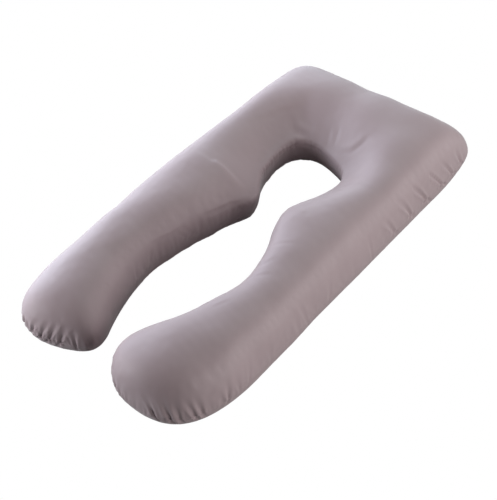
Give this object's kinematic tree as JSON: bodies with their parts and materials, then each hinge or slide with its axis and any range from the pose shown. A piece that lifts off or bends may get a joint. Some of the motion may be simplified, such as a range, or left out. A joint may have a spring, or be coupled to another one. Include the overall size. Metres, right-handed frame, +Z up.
{
  "type": "body pillow",
  "caption": "U-shaped full-body pillow in a plain cover, with a round head opening, a narrowed neck, a long belly opening and full rounded leg ends.",
  "frame": {"origin": "on the surface the pillow lies on, under the middle of its length and width", "axes": "+X across the pillow from leg to leg, +Y along the legs towards the closed head end, +Z up, away from the surface"},
  "size_m": [0.7, 1.2997, 0.2027],
  "materials": {
    "cover": "plain sateen cotton, soft low sheen"
  },
  "bodies": {
    "root": {"pillow": "cover"}
  },
  "joints": []
}
